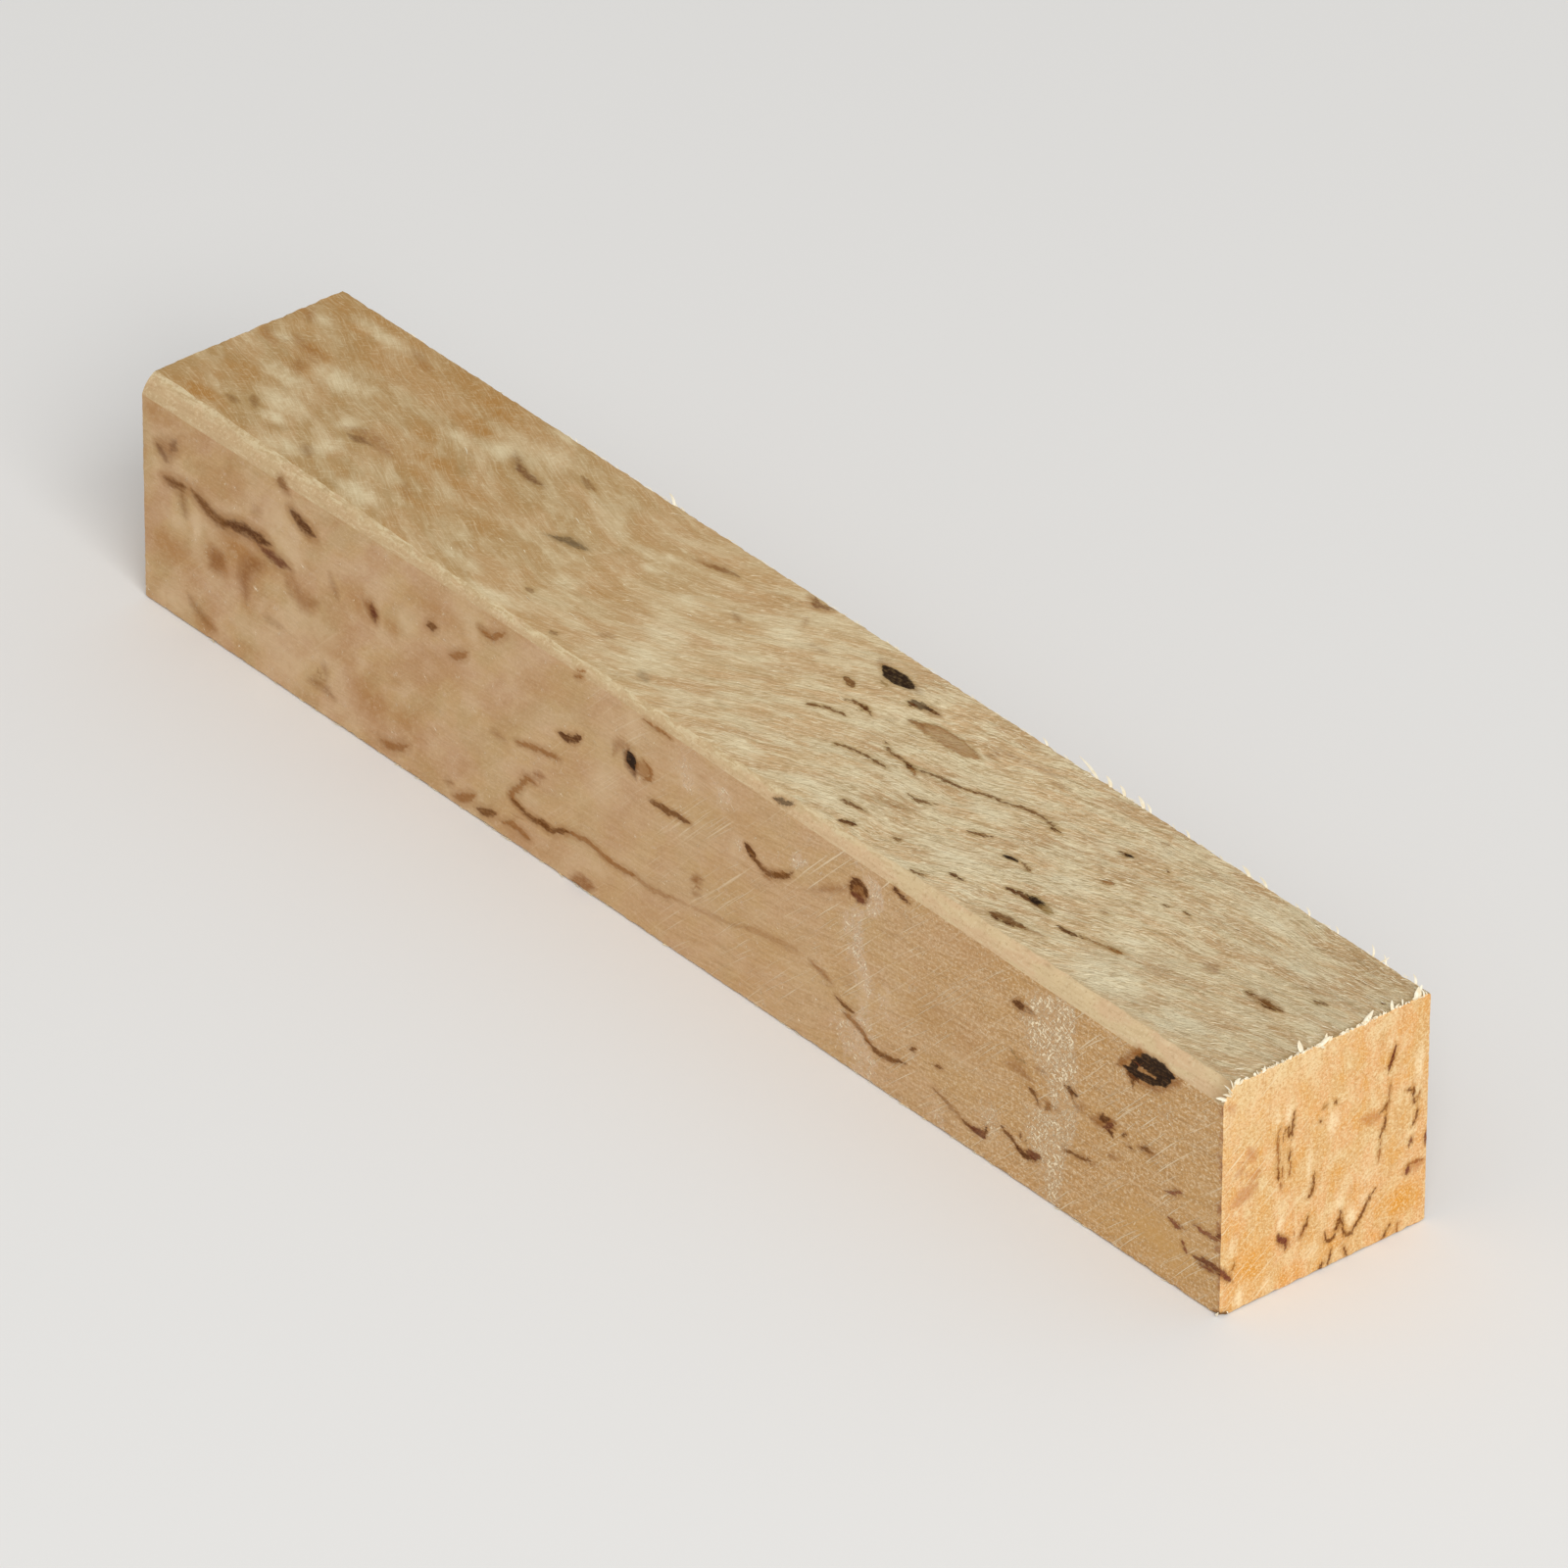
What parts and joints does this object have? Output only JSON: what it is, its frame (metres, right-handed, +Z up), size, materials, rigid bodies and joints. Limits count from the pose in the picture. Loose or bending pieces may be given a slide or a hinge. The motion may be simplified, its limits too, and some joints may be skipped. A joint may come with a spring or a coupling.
{
  "type": "wood turning blank",
  "caption": "Square-sawn stick of figured birch, one long edge worn round, to be turned between centres or drilled and cut to size.",
  "frame": {"origin": "middle of the bottom face", "axes": "+X along the length towards the near sawn end, +Y across towards the right face, +Z up from the bottom face"},
  "size_m": [0.13, 0.0204, 0.0205],
  "materials": {
    "figured_birch": "rough sawn, unfinished"
  },
  "bodies": {
    "root": {"blank": "figured_birch"}
  },
  "joints": []
}
